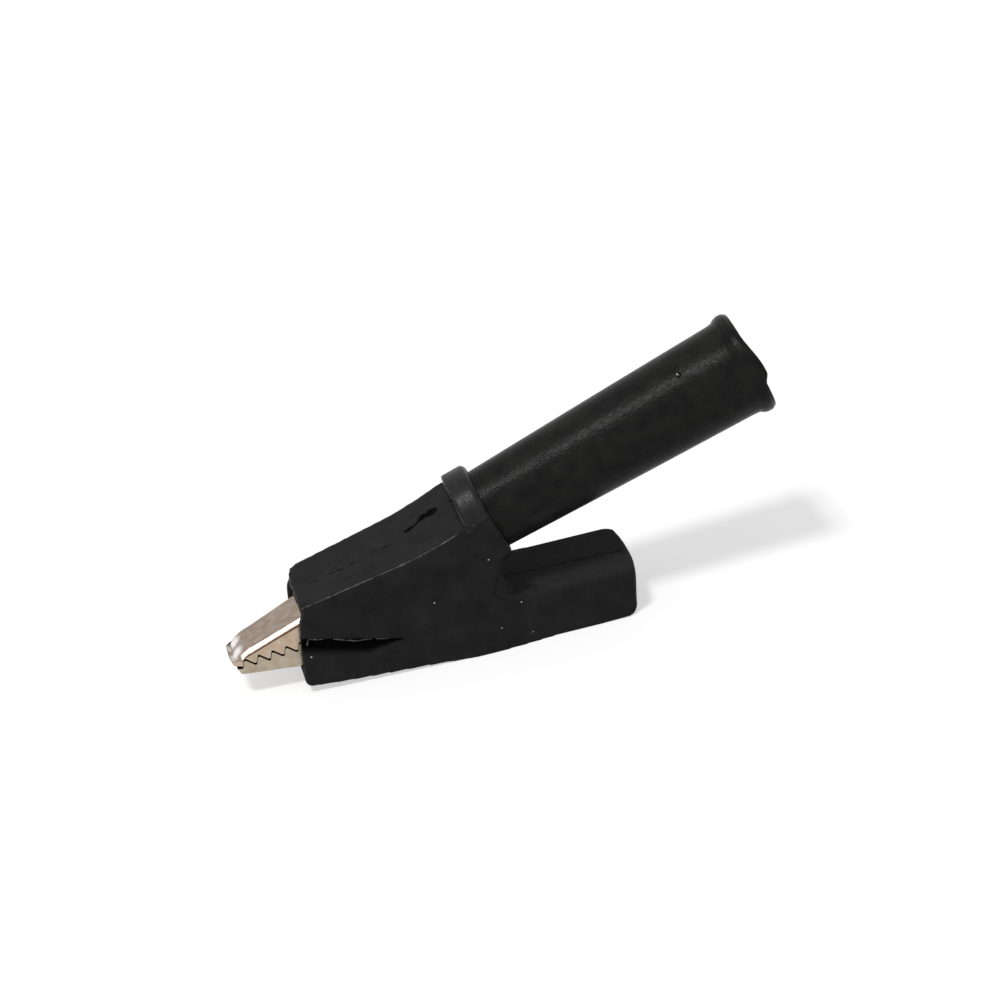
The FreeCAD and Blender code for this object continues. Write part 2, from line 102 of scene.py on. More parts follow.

# Painted shade under the slit, on the lower lip: it ends in a point between two places, and fades
# between two depths
shade_rear_x = (-16.2, -12.3)
shade_point = 0.02
shade_depth = (0.95, 2.1)
shade_start = 0.05

# Neck: the stretch between the collar's foot and the lever that is softened further. Its upper
# edge lies over the sleeve's axis by a height that grows from a place on: height, growth, place
neck_x = (-6.0, 1.0)
neck_low_z = 5.0
neck_half = 1.2
neck_edge = (0.5, 0.6, -5.5)
neck_passes = 36

# Where the real moulding is fuller, longer or shorter than the softened one
skin_growth = 0.06
front_wider = 0.16
front_lower = 0.28
lever_longer = (0.2, 0.3)
mouth_shorter = (0.2, 0.25)

# Parting groove along the top of the lever
groove_line = (Vector((-0.8, 0.2, 0)), Vector((11.65, -0.42, 0)))
groove_box = ((-1.1, 12.1), (3.8, 5.8))
groove_reach = 0.45
groove_half = 0.10
groove_depth = 0.22

# Wear on the back strip, seen from above. Faint dark marks: x, y, half length, half width,
# turn, darkness. Rubbed scuffs, whose black is a painted dark reflection: x, y, half length,
# half width, slant of y with x
strip_low_z = 8.0
rubbed_marks = (
    (-4.45, 1.17, 0.4, 0.2, 0, 0.7), (-19.8, -0.5, 0.5, 0.13, -8, 0.7),
    (-17.55, -0.65, 0.85, 0.15, -8, 0.8), (-15.6, -0.5, 0.55, 0.13, -8, 0.7),
    (-12.3, -0.3, 1.1, 0.11, -8, 0.75),
)
scuffs = (
    (-6.95, 1.42, 1.05, 0.62, 0.0), (-8.1, 1.1, 0.5, 0.24, 0.4), (-9.2, 0.62, 0.6, 0.38, 0.2),
)
scuff_edge = 0.3
collar_span = (-7.6, -3.2)
collar_foot = 1.7

# Jaws: the noses are set from the CAD shape to the pressed one, which fades out in the boot
bite_slope = math.tan(math.radians(5.7))
jaw_fade_x = (-18.5, -21.9)
jaw_back = (-22.1, 8.52)
jaw_back_slope = 0.329
jaw_roll = 0.75
jaw_crown_x = -27.3
tooth_half = 0.48
back_fall = (0.96, 0.34)
upper_teeth_rise = 0.06
lower_teeth_fall = 0.09
belly_fall = 0.34
belly_depth = 1.2
jaw_bevel = 0.05 * MM

# Sleeve: an outline turned round its own axis, as distance along the axis and radius
sleeve_origin = Vector((3.52, 0, 14.66))
sleeve_angle = math.radians(18.1)
along = Vector((math.cos(sleeve_angle), 0, math.sin(sleeve_angle)))
above = Vector((-along.z, 0, along.x))
sleeve_segments = 144
sleeve_middle_r = 4.40
sleeve_taper = 0.0279
sleeve_belly = 0.04
sleeve_run = (-5.0, 28.7)
sleeve_stations = (-5.4, -4.6, -3, 0, 3, 6, 9, 12, 15, 18, 21, 23.4)
sleeve_front = ((-6.4, 4.17), (-5.95, 4.17), (-5.95, 3.71), (-5.35, 3.71))
sleeve_flange = ((24.05, 5.12), (24.45, 5.38), (24.85, 5.5), (25.35, 5.5), (25.85, 5.2))
sleeve_bore = (
    (25.85, 4.35), (25.55, 4.05), (8.85, 4.05), (8.85, 2.72), (5.15, 2.72), (5.15, 3.2), (-6.4, 3.2),
)
sleeve_corner = 0.25
sleeve_crease = 40

# The rim is thicker along its upper near side: by how much, where along the axis and at what
# radius it sets in, and between which angles round the sleeve it rises and fades
rim_proud = 0.52
rim_s = (24.6, 25.6)
rim_radius = (4.3, 4.9)
rim_rise = (-0.14, 0.1)
rim_fade = (1.05, 0.2)

# Broken-off gate on the sleeve: its place, and its outline as radius and height
gate_s = 18.6
gate_angle = math.radians(53.8)
gate_outline = (
    (0.001, -0.16), (0.10, -0.13), (0.17, 0.02), (0.22, 0.05), (0.28, 0.02), (0.34, -0.04),
)
gate_sides = 20
gate_wobble = 0.12
nub_offset = (0.12, -0.12, 0.04)
nub_radius = 0.10

# Flash: thin ridges where the boot's mould parts met
mouth_x = -22.1
mouth_top_z = 9.54
mouth_half = 4.70
strip_spread = 1.15 / 17.6
strip_slope = math.radians(13.13)
strip_bend_x = -12.0
strip_bend_radius = 37.5
strip_flash_start = {-1: 0.15, 1: 0.9}
strip_flash_end = -4.9
strip_flash_points = 0.25
strip_flash_sink = 0.01
strip_flash_thick = 0.05
flash_step = 0.12
bead_sides = 6
bead_tip = 0.01
flash_gaps = -0.6
no_gaps = -2.0

# Torn edge of the slit, a little proud of the wall: thickness, and x and z of its points
slit_flash_sink = 0.03
slit_flash_wander = 0.05
slit_flash_step = 0.1
slit_flash = (
    (0.09, ((-22.1, 5.35), (-21.95, 5.85), (-21.75, 6.08), (-21.3, 5.95), (-21.0, 5.78),
            (-20.6, 5.78), (-20.35, 5.72))),
    (0.07, ((-19.4, 5.5), (-18.6, 5.22), (-17.8, 4.93), (-17.0, 4.72), (-16.2, 4.68),
            (-15.6, 4.62))),
    (0.05, ((-15.2, 4.52), (-14.6, 4.40), (-13.9, 4.28))),
)
# Flash on the mouth's top edge: how far below the strip, and y of its points
mouth_flash_sink = 0.02
mouth_flash_thick = 0.06
mouth_flash = ((0.42, (2.9, 2.2, 1.5, 0.8)), (0.62, (0.4, -0.4, -1.2, -2.0)))

# Pips of torn flash on the near side: x, z and radius
boot_pips = ((-8.75, 7.16, 0.065), (-2.6, 10.57, 0.075))
lever_pips = ((-0.05, 4.9, 0.06), (-2.5, 2.64, 0.05), (0.6, 1.19, 0.05), (-21.9, 4.05, 0.08))
pip_stretch = (1.3, 0.6, 1.0)
lumpiness = 0.5
lump_size = 9


def make_camera():
    """Put the camera on its line of sight to the clip, turned about that line by the roll."""
    azimuth = math.radians(camera_azimuth)
    elevation = math.radians(camera_elevation)
    back = Vector((
        math.sin(azimuth) * math.cos(elevation),
        -math.cos(azimuth) * math.cos(elevation),
        math.sin(elevation),
    ))
    data = bpy.data.cameras.new("photo_camera")
    data.lens = camera_lens
    data.sensor_width = camera_sensor
    data.clip_start, data.clip_end = camera_range
    camera = bpy.data.objects.new("photo_camera", data)
    roll = Matrix.Rotation(math.radians(camera_roll), 4, "Z")
    aim = back.to_track_quat("Z", "Y").to_matrix().to_4x4()
    camera.matrix_world = Matrix.Translation(camera_target + back * camera_distance) @ aim @ roll
    scene.collection.objects.link(camera)
    scene.camera = camera


def linear(hex_colour):
    """Turn an sRGB hex colour into linear red, green, blue and alpha."""
    parts = [int(hex_colour[i:i + 2], 16) / 255 for i in (0, 2, 4)]
    values = [p / 12.92 if p <= 0.04045 else ((p + 0.055) / 1.055) ** 2.4 for p in parts]
    return (*values, 1.0)


def add(tree, kind, settings=None, **inputs):
    """Add one node. Its inputs are given by name, or by number as _0, _1 and so on.

    A value that is a socket is linked, and any other value is set.
    """
    node = tree.nodes.new(kind)
    for name, value in (settings or {}).items():
        setattr(node, name, value)
    for name, value in inputs.items():
        key = int(name[1:]) if name[1:].isdigit() else name.replace("_", " ")
        socket = node.inputs[key]
        if isinstance(value, bpy.types.NodeSocket):
            tree.links.new(value, socket)
        else:
            socket.default_value = value
    return node


def new_material(name):
    material = bpy.data.materials.new(name)
    material.use_nodes = True
    material.node_tree.nodes.clear()
    return material, material.node_tree


def background_rays(tree):
    """1 where the eye or a reflection looks at the surroundings, 0 where they light the clip."""
    rays = add(tree, "ShaderNodeLightPath")
    seen = add(tree, "ShaderNodeMath", {"operation": "MAXIMUM"},
               _0=rays.outputs["Is Camera Ray"], _1=rays.outputs["Is Glossy Ray"])
    seen = add(tree, "ShaderNodeMath", {"operation": "MAXIMUM"},
               _0=seen.outputs[0], _1=rays.outputs["Is Transmission Ray"])
    return seen.outputs[0]


def make_studio():
    """A white floor that keeps a soft shadow, a white surround and one soft lamp."""
    mesh = bpy.data.meshes.new("floor")
    corners = [(-floor_half, -floor_half, 0), (floor_half, -floor_half, 0),
               (floor_half, floor_half, 0), (-floor_half, floor_half, 0)]
    mesh.from_pydata(corners, [], [(0, 1, 2, 3)])
    floor = bpy.data.objects.new("floor", mesh)
    scene.collection.objects.link(floor)
    # White paper: the eye sees it partly by its own glow, so the clip's shadow stays pale
    material, tree = new_material("white_paper")
    lit = add(tree, "ShaderNodeBsdfDiffuse", Color=linear(paper_lit))
    dim = add(tree, "ShaderNodeBsdfDiffuse", Color=linear(paper_shown))
    glow = add(tree, "ShaderNodeEmission", Color=(1, 1, 1, 1), Strength=paper_glow)
    shown = add(tree, "ShaderNodeAddShader", _0=dim.outputs[0], _1=glow.outputs[0])
    mixed = add(tree, "ShaderNodeMixShader", Fac=background_rays(tree),
                _1=lit.outputs[0], _2=shown.outputs[0])
    add(tree, "ShaderNodeOutputMaterial", Surface=mixed.outputs[0])
    mesh.materials.append(material)
    world = bpy.data.worlds.new("studio")
    scene.world = world
    world.use_nodes = True
    tree = world.node_tree
    tree.nodes.clear()
    level = add(tree, "ShaderNodeMapRange", Value=background_rays(tree),
                To_Min=sky_level, To_Max=1.0)
    light = add(tree, "ShaderNodeBackground", Color=(1, 1, 1, 1), Strength=level.outputs[0])
    add(tree, "ShaderNodeOutputWorld", Surface=light.outputs[0])
    data = bpy.data.lights.new("window", "SUN")
    data.energy = lamp_power
    data.angle = math.radians(lamp_softness)
    window = bpy.data.objects.new("window", data)
    window.rotation_euler = lamp_towards.to_track_quat("Z", "Y").to_euler()
    scene.collection.objects.link(window)


make_camera()
make_studio()
scene.view_settings.view_transform = "Standard"


# Materials. Each follows the clip's own coordinates, so its scales are real sizes.

def strip_marks(tree, where, spot):
    """How dark the faint marks on the back strip are: ovals with ragged outlines."""
    ragged = add(tree, "ShaderNodeTexNoise", Vector=where, Scale=1 / (0.8 * MM),
                 Detail=3.0, Roughness=0.6)
    shift = add(tree, "ShaderNodeVectorMath", {"operation": "SUBTRACT"},
                _0=ragged.outputs["Color"], _1=(0.5, 0.5, 0.5))
    shift = add(tree, "ShaderNodeVectorMath", {"operation": "SCALE"},
                _0=shift.outputs[0], Scale=0.9 * MM)
    torn = add(tree, "ShaderNodeVectorMath", {"operation": "ADD"}, _0=where, _1=shift.outputs[0])
    dark = 0.0
    for x, y, half_long, half_wide, turn, darkness in rubbed_marks:
        local = add(tree, "ShaderNodeMapping", {"vector_type": "TEXTURE"}, Vector=torn.outputs[0],
                    Location=(x * MM, y * MM, 0), Rotation=(0, 0, math.radians(turn)),
                    Scale=(half_long * MM, half_wide * MM, 1))
        flat = add(tree, "ShaderNodeVectorMath", {"operation": "MULTIPLY"},
                   _0=local.outputs[0], _1=(1, 1, 0))
        reach = add(tree, "ShaderNodeVectorMath", {"operation": "LENGTH"}, _0=flat.outputs[0])
        mark = add(tree, "ShaderNodeMapRange", {"interpolation_type": "SMOOTHSTEP"},
                   Value=reach.outputs["Value"], From_Min=1.25, From_Max=0.8,
                   To_Min=0.0, To_Max=darkness)
        dark = add(tree, "ShaderNodeMath", {"operation": "MAXIMUM"},
                   _0=mark.outputs[0], _1=dark).outputs[0]
    on_strip = add(tree, "ShaderNodeMath", {"operation": "GREATER_THAN"},
                   _0=spot.outputs["Z"], _1=strip_low_z * MM)
    return add(tree, "ShaderNodeMath", {"operation": "MULTIPLY"},
               _0=dark, _1=on_strip.outputs[0]).outputs[0]


def slit_shade(tree, spot):
    """How much painted shade darkens the lower lip: full at the slit, gone lower down, pointed at
    the rear.
    """
    edge = add(tree, "ShaderNodeMath", {"operation": "MULTIPLY_ADD"}, _0=spot.outputs["X"],
               _1=slit_slope, _2=(slit_mouth[1] - slit_slope * slit_mouth[0]) * MM)
    drop = add(tree, "ShaderNodeMath", {"operation": "SUBTRACT"},
               _0=edge.outputs[0], _1=spot.outputs["Z"])
    taper = add(tree, "ShaderNodeMapRange", Value=spot.outputs["X"],
                From_Min=shade_rear_x[1] * MM, From_Max=shade_rear_x[0] * MM,
                To_Min=shade_point, To_Max=1.0)
    reach = add(tree, "ShaderNodeMath", {"operation": "DIVIDE"},
                _0=drop.outputs[0], _1=taper.outputs[0])
    fade = add(tree, "ShaderNodeMapRange", {"interpolation_type": "SMOOTHSTEP"},
               Value=reach.outputs[0], From_Min=shade_depth[1] * MM, From_Max=shade_depth[0] * MM)
    under = add(tree, "ShaderNodeMath", {"operation": "GREATER_THAN"},
                _0=drop.outputs[0], _1=shade_start * MM)
    return add(tree, "ShaderNodeMath", {"operation": "MULTIPLY"},
               _0=fade.outputs[0], _1=under.outputs[0]).outputs[0]


def soft_pvc(name, sheen, smoothest, roughest):
    """Soft PVC, injection moulded: dull black that faint clouds keep from looking flat.

    The mould's grain breaks up its sheen, rubbed marks are nearly black and matt, and painted shade
    darkens the lower lip under the slit to nearly black.
    """
    material, tree = new_material(name)
    where = add(tree, "ShaderNodeTexCoord").outputs["Object"]
    spot = add(tree, "ShaderNodeSeparateXYZ", Vector=where)
    clouds = add(tree, "ShaderNodeTexNoise", Vector=where, Scale=1 / (2.4 * MM),
                 Detail=3.0, Roughness=0.6)
    grain = add(tree, "ShaderNodeTexNoise", Vector=where, Scale=1 / (0.22 * MM),
                Detail=2.0, Roughness=0.5)
    tone = add(tree, "ShaderNodeMapRange", Value=clouds.outputs[0], From_Min=0.3, From_Max=0.7)
    clean = add(tree, "ShaderNodeMix", {"data_type": "RGBA"}, _0=tone.outputs[0],
                _6=linear("1f1f20"), _7=linear("292929"))
    # The faint marks on the strip, and the painted shade under the slit
    dark = add(tree, "ShaderNodeMath", {"operation": "MAXIMUM"},
               _0=strip_marks(tree, where, spot), _1=slit_shade(tree, spot))
    colour = add(tree, "ShaderNodeMix", {"data_type": "RGBA"}, _0=dark.outputs[0],
                 _6=clean.outputs[2], _7=linear("020202"))
    gloss = add(tree, "ShaderNodeMapRange", Value=grain.outputs[0], From_Min=0.3, From_Max=0.7,
                To_Min=smoothest, To_Max=roughest)
    gloss = add(tree, "ShaderNodeMix", {"data_type": "FLOAT"}, _0=dark.outputs[0],
                _2=gloss.outputs[0], _3=0.5)
    relief = add(tree, "ShaderNodeBump", Strength=0.75, Distance=0.03 * MM,
                 Height=grain.outputs[0])
    shader = add(tree, "ShaderNodeBsdfPrincipled", Base_Color=colour.outputs[2],
                 Roughness=gloss.outputs[0], Specular_IOR_Level=sheen, Normal=relief.outputs[0])
    add(tree, "ShaderNodeOutputMaterial", Surface=shader.outputs[0])
    return material


def painted_dark_pvc():
    """Soft PVC painted nearly black and dead matt: on the rubbed scuffs the black is a painted dark
    reflection, and the gate mark is nearly black too.
    """
    material, tree = new_material("soft_pvc_painted_dark")
    where = add(tree, "ShaderNodeTexCoord").outputs["Object"]
    patches = add(tree, "ShaderNodeTexNoise", Vector=where, Scale=1 / (0.4 * MM), Detail=2.0)
    colour = add(tree, "ShaderNodeMix", {"data_type": "RGBA"}, _0=patches.outputs[0],
                 _6=linear("060606"), _7=linear("141414"))
    shader = add(tree, "ShaderNodeBsdfPrincipled", Base_Color=colour.outputs[2], Roughness=0.7,
                 Specular_IOR_Level=0.0)
    add(tree, "ShaderNodeOutputMaterial", Surface=shader.outputs[0])
    return material


def polyamide():
    """Polyamide, moulded in a spark-eroded tool: black, with orange-peel that breaks its sheen."""
    material, tree = new_material("polyamide_moulded")
    where = add(tree, "ShaderNodeTexCoord").outputs["Object"]
    peel = add(tree, "ShaderNodeTexNoise", Vector=where, Scale=1 / (0.30 * MM),
               Detail=2.0, Roughness=0.55)
    clouds = add(tree, "ShaderNodeTexNoise", Vector=where, Scale=1 / (1.6 * MM),
                 Detail=2.0, Roughness=0.5)
    tone = add(tree, "ShaderNodeMapRange", Value=clouds.outputs[0], From_Min=0.3, From_Max=0.7)
    colour = add(tree, "ShaderNodeMix", {"data_type": "RGBA"}, _0=tone.outputs[0],
                 _6=linear("181818"), _7=linear("222221"))
    gloss = add(tree, "ShaderNodeMapRange", Value=peel.outputs[0], From_Min=0.3, From_Max=0.7,
                To_Min=0.21, To_Max=0.38)
    relief = add(tree, "ShaderNodeBump", Strength=1.0, Distance=0.045 * MM, Height=peel.outputs[0])
    shader = add(tree, "ShaderNodeBsdfPrincipled", Base_Color=colour.outputs[2],
                 Roughness=gloss.outputs[0], Specular_IOR_Level=0.04, Normal=relief.outputs[0])
    add(tree, "ShaderNodeOutputMaterial", Surface=shader.outputs[0])
    return material


def pvc_flash_highlight(name, dark, light):
    """Thin flash on the boot's edges: the same PVC in a lighter grey that is a painted highlight
    along the edges, or white where it is torn.
    """
    material, tree = new_material(name)
    where = add(tree, "ShaderNodeTexCoord").outputs["Object"]
    broken = add(tree, "ShaderNodeTexNoise", Vector=where, Scale=1 / (0.7 * MM),
                 Detail=3.0, Roughness=0.65)
    tone = add(tree, "ShaderNodeMapRange", Value=broken.outputs[0], From_Min=0.38, From_Max=0.62)
    colour = add(tree, "ShaderNodeMix", {"data_type": "RGBA"}, _0=tone.outputs[0],
                 _6=linear(dark), _7=linear(light))
    shader = add(tree, "ShaderNodeBsdfPrincipled", Base_Color=colour.outputs[2], Roughness=0.4,
                 Specular_IOR_Level=0.1)
    add(tree, "ShaderNodeOutputMaterial", Surface=shader.outputs[0])
    return material


def jaw_colour(tree, facing, spot, ragged, flats, back):
    """The plate's colour by how its surface faces: flats, a back painted darker as dim reflection, a
    painted highlight on the roll and a painted dark reflection in the line under it.

    Each finish starts where the surface has turned up far enough from the flat side. The roll
    and the line also need it to face sideways by a share, and end behind the nose.
    """
    across = add(tree, "ShaderNodeMath", {"operation": "ABSOLUTE"}, _0=facing.outputs["Y"])
    shaken = add(tree, "ShaderNodeMath", {"operation": "MULTIPLY_ADD"},
                 _0=ragged.outputs[0], _1=0.05, _2=across.outputs[0])
    behind_nose = add(tree, "ShaderNodeMath", {"operation": "GREATER_THAN"},
                      _0=spot.outputs["X"], _1=-28.7 * MM)
    colour = flats
    # The back's browner tone is a painted dark reflection, the cream roll a painted highlight, and
    # the brown line under it a painted dark reflection
    for turned, sideways, shade in (
        ((0.10, 0.30), None, back.outputs[2]),
        ((0.06, 0.24), (0.42, 0.60), linear("fdf6ec")),
        ((0.03, 0.07), (0.94, 0.965), linear("6a4e3c")),
    ):
        band = add(tree, "ShaderNodeMapRange", {"interpolation_type": "SMOOTHSTEP"},
                   Value=facing.outputs["Z"], From_Min=turned[0], From_Max=turned[1])
        if sideways:
            band = add(tree, "ShaderNodeMath", {"operation": "MULTIPLY"},
                       _0=band.outputs[0], _1=behind_nose.outputs[0])
            edge = add(tree, "ShaderNodeMapRange", {"interpolation_type": "SMOOTHSTEP"},
                       Value=shaken.outputs[0], From_Min=sideways[0], From_Max=sideways[1])
            band = add(tree, "ShaderNodeMath", {"operation": "MULTIPLY"},
                       _0=band.outputs[0], _1=edge.outputs[0])
        colour = add(tree, "ShaderNodeMix", {"data_type": "RGBA"}, _0=band.outputs[0],
                     _6=colour.outputs[2], _7=shade)
    return colour


def jaw_plate(name, teeth_side, light, dark):
    """Nickel plate on pressed steel: warm flats, and a back painted browner and cloudy as dark
    reflection.

    The rolled edges carry a painted highlight, and so do the nose's corners, and what faces the
    teeth or the inside is painted shade.
    """
    material, tree = new_material(name)
    coordinates = add(tree, "ShaderNodeTexCoord")
    where = coordinates.outputs["Object"]
    facing = add(tree, "ShaderNodeSeparateXYZ", Vector=coordinates.outputs["Normal"])
    spot = add(tree, "ShaderNodeSeparateXYZ", Vector=where)
    ragged = add(tree, "ShaderNodeTexNoise", Vector=where, Scale=1 / (0.35 * MM), Detail=3.0)
    clouds = add(tree, "ShaderNodeTexNoise", Vector=where, Scale=1 / (0.9 * MM),
                 Detail=4.0, Roughness=0.6)
    tone = add(tree, "ShaderNodeMapRange", Value=clouds.outputs[0], From_Min=0.3, From_Max=0.7)
    flats = add(tree, "ShaderNodeMix", {"data_type": "RGBA"}, _0=tone.outputs[0],
                _6=linear(dark), _7=linear(light))
    # The back's tones, painted darker as the dim reflection that the top faces show
    back = add(tree, "ShaderNodeMix", {"data_type": "RGBA"}, _0=tone.outputs[0],
               _6=linear("86725f"), _7=linear("a3968c"))
    colour = jaw_colour(tree, facing, spot, ragged, flats, back)
    # Painted highlight on the nose's corners
    mirrored = add(tree, "ShaderNodeVectorMath", {"operation": "ABSOLUTE"}, _0=where)
    reach = add(tree, "ShaderNodeVectorMath", {"operation": "DISTANCE"},
                _0=mirrored.outputs[0], _1=(29.2 * MM, 1.1 * MM, 4.7 * MM))
    reach = add(tree, "ShaderNodeMath", {"operation": "MULTIPLY_ADD"},
                _0=ragged.outputs[0], _1=0.5 * MM, _2=reach.outputs["Value"])
    nose_highlight = add(tree, "ShaderNodeMapRange", {"interpolation_type": "SMOOTHSTEP"},
                 Value=reach.outputs[0], From_Min=1.5 * MM, From_Max=0.6 * MM)
    colour = add(tree, "ShaderNodeMix", {"data_type": "RGBA"}, _0=nose_highlight.outputs[0],
                 _6=colour.outputs[2], _7=linear("f2ede8"))
    # Painted shade on the teeth and inside
    inward = add(tree, "ShaderNodeMath", {"operation": "MULTIPLY"},
                 _0=spot.outputs["Y"], _1=facing.outputs["Y"])
    inward = add(tree, "ShaderNodeMath", {"operation": "LESS_THAN"},
                 _0=inward.outputs[0], _1=-0.3 * MM)
    bitten = add(tree, "ShaderNodeMath", {"operation": "MULTIPLY"},
                 _0=facing.outputs["Z"], _1=teeth_side)
    bitten = add(tree, "ShaderNodeMath", {"operation": "GREATER_THAN"},
                 _0=bitten.outputs[0], _1=0.25)
    painted_inner_shade = add(tree, "ShaderNodeMath", {"operation": "MAXIMUM"},
                _0=inward.outputs[0], _1=bitten.outputs[0])
    colour = add(tree, "ShaderNodeMix", {"data_type": "RGBA"}, _0=painted_inner_shade.outputs[0],
                 _6=colour.outputs[2], _7=linear("1c140c"))
    # Drawing scratches along the jaw
    scratches = add(tree, "ShaderNodeMapping", Vector=where, Scale=(1, 6, 6))
    scratches = add(tree, "ShaderNodeTexNoise", Vector=scratches.outputs[0],
                    Scale=1 / (0.9 * MM), Detail=3.0)
    gloss = add(tree, "ShaderNodeMapRange", Value=scratches.outputs[0],
                From_Min=0.3, From_Max=0.7, To_Min=0.2, To_Max=0.34)
    relief = add(tree, "ShaderNodeBump", Strength=0.25, Distance=0.01 * MM,
                 Height=scratches.outputs[0])
    shader = add(tree, "ShaderNodeBsdfPrincipled", Base_Color=colour.outputs[2], Metallic=1.0,
                 Roughness=gloss.outputs[0], Normal=relief.outputs[0])
    add(tree, "ShaderNodeOutputMaterial", Surface=shader.outputs[0])
    return material


def small_metal(name, light, dark, grain, smoothest, roughest):
    """Turned, headed or drawn metal of a small part: the light patches are the polished ones."""
    material, tree = new_material(name)
    where = add(tree, "ShaderNodeTexCoord").outputs["Object"]
    patches = add(tree, "ShaderNodeTexNoise", Vector=where, Scale=1 / (grain * MM), Detail=3.0)
    tone = add(tree, "ShaderNodeMapRange", Value=patches.outputs[0], From_Min=0.3, From_Max=0.7)
    colour = add(tree, "ShaderNodeMix", {"data_type": "RGBA"}, _0=tone.outputs[0],
                 _6=linear(dark), _7=linear(light))
    gloss = add(tree, "ShaderNodeMapRange", Value=tone.outputs[0],
                To_Min=roughest, To_Max=smoothest)
    shader = add(tree, "ShaderNodeBsdfPrincipled", Base_Color=colour.outputs[2], Metallic=1.0,
                 Roughness=gloss.outputs[0])
    add(tree, "ShaderNodeOutputMaterial", Surface=shader.outputs[0])
    return material


finishes = {
    "boot_pvc": soft_pvc("soft_pvc_moulded", 0.015, 0.42, 0.55),
    "sleeve_plastic": polyamide(),
    "jaw_nickel": jaw_plate("nickel_plate_upper", -1.0, "c4b19d", "ae9984"),
    "rivet_steel": small_metal("rivet_nickel", "d8d2c6", "b5aea0", 0.6, 0.22, 0.38),
    "spring_steel": small_metal("drawn_spring_wire", "b4b4b6", "8d8d90", 0.4, 0.25, 0.4),
    "contact_nickel": small_metal("turned_nickel", "d6cfbf", "b8b09f", 0.5, 0.18, 0.32),
}
collar_finish = soft_pvc("soft_pvc_collar", 0.095, 0.24, 0.46)
painted_dark_finish = painted_dark_pvc()
lower_jaw_finish = jaw_plate("nickel_plate_lower", 1.0, "b6ac9c", "a2957f")
# Flash along the edges: real thin ridges, whose lighter grey is a painted highlight
flash_highlight = pvc_flash_highlight("pvc_flash_highlight", "222222", "646462")
torn_flash = pvc_flash_highlight("pvc_torn", "8a8a88", "e8e8e4")
slots = {part["node"]: part["material_slot"] for part in frame["record"]["subparts"]}
for name, node in nodes.items():
    node.data.materials.clear()
    node.data.materials.append(finishes[slots[name]])


def new_piece(name, mesh, body, material):
    """Put a mesh in the scene as a piece, which rides on a body where one is given."""
    piece = bpy.data.objects.new(name, mesh)
    scene.collection.objects.link(piece)
    mesh.materials.append(material)
    if body:
        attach(piece, body)
    return piece


def smooth_mesh(shape, name, crease=None):
    """Turn a finished bmesh into a mesh with smooth shading, sharp at creases of an angle."""
    mesh = bpy.data.meshes.new(name)
    shape.to_mesh(mesh)
    shape.free()
    for face in mesh.polygons:
        face.use_smooth = True
    if crease:
        mesh.set_sharp_from_angle(angle=math.radians(crease))
    return mesh


def skin_rings(shape, rings):
    """Join rings of vertices by quads, each ring to the next."""
    count = len(rings[0])
    for near, far in zip(rings, rings[1:]):
        for k in range(count):
            n = (k + 1) % count
            shape.faces.new((near[k], near[n], far[n], far[k]))


def swell(low, high, value):
    """Rise smoothly from 0 to 1 as a value goes from low to high. High may be the smaller."""
    t = min(max((value - low) / (high - low), 0.0), 1.0)
    return t * t * (3 - 2 * t)


def joined_solids(name, cad_names, adjust=None):
    """Join copies of CAD solids in one mesh. adjust moves the vertices of each copy."""
    shape = bmesh.new()
    for cad_name in cad_names:
        part = bmesh.new()
        part.from_mesh(nodes[cad_name].data)
        bmesh.ops.remove_doubles(part, verts=part.verts, dist=weld)
        if adjust:
            part.normal_update()
            adjust(cad_name, part)
        copy = bpy.data.meshes.new(cad_name + "_copy")
        part.to_mesh(copy)
        part.free()
        shape.from_mesh(copy)
        bpy.data.meshes.remove(copy)
    return smooth_mesh(shape, name)


def modified(mesh, settings):
    """A mesh after modifiers, each given as its kind and its settings."""
    holder = bpy.data.objects.new(mesh.name, mesh)
    scene.collection.objects.link(holder)
    for kind, values in settings:
        modifier = holder.modifiers.new(kind.lower(), kind)
        for name, value in values.items():
            setattr(modifier, name, value)
    graph = bpy.context.evaluated_depsgraph_get()
    changed = bpy.data.meshes.new_from_object(holder.evaluated_get(graph))
    bpy.data.objects.remove(holder)
    return changed


# Boot

def fold_upper_z(x):
    return fold_top_z + fold_slope * (x - pivot.x)


def fold_lower_z(x):
    return fold_upper_z(x) - fold_depth


def slit_z(x):
    return slit_mouth[1] + slit_slope * (x - slit_mouth[0])


def boot_region(x, z):
    """Which mesh of the boot a place belongs to, or none inside the slit."""
    if x < fold_front_x and z < slit_z(x) - slit_cut:
        return "boot_lower_skin"
    if x < fold_front_x and z < slit_z(x):
        return None
    if z > fold_upper_z(x):
        return "boot_upper_skin"
    if x > fold_front_x and z < fold_lower_z(x):
        return "boot_lower_skin"
    return "boot_fold_skin"


def close_gaps(cad_name, part):
    """Close the thin gaps between the boot's solids, so that they become one moulding."""
    for vertex in part.verts:
        x, z = vertex.co.x / MM, vertex.co.z / MM
        if cad_name == "boot_web":
            step = vertex.normal.copy()
            step.y = 0.0
            vertex.co += step * web_growth * MM
        elif cad_name == "boot_lower" and x < fold_front_x:
            if abs(z - slit_z(x) + slit_gap) < slit_overlap:
                vertex.co.z += (slit_gap + slit_overlap) * MM


def soften_neck(shape):
    """Run the collar's foot and the neck into the boot's sides, as the soft moulding does."""
    start, rise, from_x = neck_edge
    neck = []
    for vertex in shape.verts:
        spot = vertex.co / MM
        under = (spot - sleeve_origin).dot(above)
        if neck_x[0] < spot.x < neck_x[1] and spot.z > neck_low_z and abs(spot.y) > neck_half:
            if under < start + rise * (spot.x - from_x):
                neck.append(vertex)
    for _ in range(neck_passes):
        bmesh.ops.smooth_vert(shape, verts=neck, factor=0.5,
                              use_axis_x=True, use_axis_y=True, use_axis_z=True)


